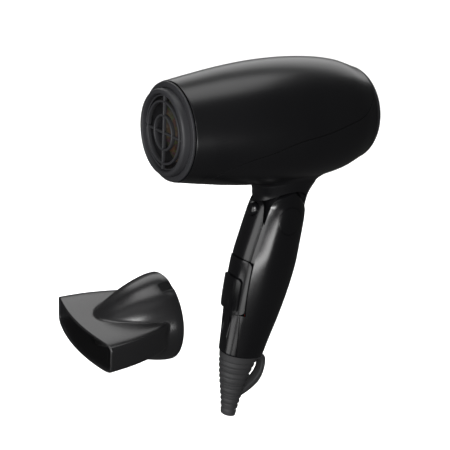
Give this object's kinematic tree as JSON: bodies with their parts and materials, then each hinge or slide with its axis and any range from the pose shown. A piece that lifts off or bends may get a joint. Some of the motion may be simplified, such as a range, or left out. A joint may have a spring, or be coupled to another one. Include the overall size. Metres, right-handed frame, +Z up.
{
  "type": "hair dryer",
  "caption": "Compact travel hair dryer: rounded barrel with round outlet grille, folding handle with sliding switch, ribbed cord bush with hanging loop, and a loose flat concentrator nozzle.",
  "frame": {"origin": "middle of the grip, on the handle's centre line", "axes": "-X the way the air blows, +Z up, +Y to the left of a person holding it and facing along the air"},
  "size_m": [0.1837, 0.0704, 0.2201],
  "materials": {
    "barrel_black": "satin black moulded shell",
    "handle_black": "high-gloss black",
    "trim_dark": "fine matte dark grey",
    "nozzle_dark": "semi-gloss dark grey-black",
    "heat_dark": "matte heat-resistant plastic",
    "bush_rubber": "matte ribbed rubber",
    "mica": "mica sheet",
    "steel": "bright steel",
    "resistance_wire": "dull resistance wire",
    "brass": "bright",
    "board_green": "printed board",
    "insulation": "wire insulation"
  },
  "bodies": {
    "handle": {"handle_shell": "handle_black", "upper_front_cover": "handle_black", "lower_front_cover": "handle_black", "hinge_cap_left": "handle_black", "hinge_cap_right": "handle_black", "switch_panel": "handle_black", "switch_body": "trim_dark", "cool_switch": "trim_dark", "circuit_board": "board_green", "rectifier": "trim_dark", "capacitor": "brass", "supply_lead": "insulation", "switch_lead": "insulation", "cord_clamp": "trim_dark", "clamp_screw_left": "steel", "clamp_screw_right": "steel", "handle_screw_upper": "steel", "handle_screw_lower": "steel", "pivot_tube": "steel", "spring_washer": "steel", "cord_bush": "bush_rubber"},
    "barrel": {"upper_shell": "barrel_black", "lower_shell": "barrel_black", "nozzle_seat": "heat_dark", "front_ring": "heat_dark", "outlet_grille": "heat_dark", "rear_grille": "heat_dark", "heat_tube": "mica", "mica_board_upright": "mica", "mica_board_level": "mica", "heater_coil": "resistance_wire", "thermostat": "brass", "thermal_fuse": "steel", "motor": "steel", "motor_mount": "heat_dark", "motor_screw_left": "steel", "motor_screw_right": "steel", "lead_live": "insulation", "lead_neutral": "insulation"},
    "fan": {"impeller": "trim_dark", "motor_shaft": "steel"},
    "knob": {"speed_knob": "handle_black"},
    "button": {"cool_button": "handle_black"},
    "nozzle": {"concentrator": "nozzle_dark"}
  },
  "joints": [
    {"name": "handle_fold", "type": "hinge", "parent": "handle", "child": "barrel", "pos_m": [0.00974, 0, 0.04393], "axis": [0, 1, 0], "range_deg": [0, 70]},
    {"name": "fan_spin", "type": "hinge", "parent": "barrel", "child": "fan", "pos_m": [0.04874, 0, 0.10043], "axis": [1, 0, 0], "continuous": true},
    {"name": "speed_slide", "type": "slide", "parent": "handle", "child": "knob", "axis": [0.1443, 0, 0.9895], "range_m": [0, 0.008]},
    {"name": "cool_button_press", "type": "slide", "parent": "handle", "child": "button", "axis": [0.9763, 0, -0.2164], "range_m": [0, 0.0012], "stiffness_N_per_m": 400, "springref_m": -0.001},
    {"name": "nozzle_put_on", "type": "slide", "parent": "barrel", "child": "nozzle", "axis": [-0.085, 0, 0.9964], "range_m": [0, 0.10588]}
  ]
}
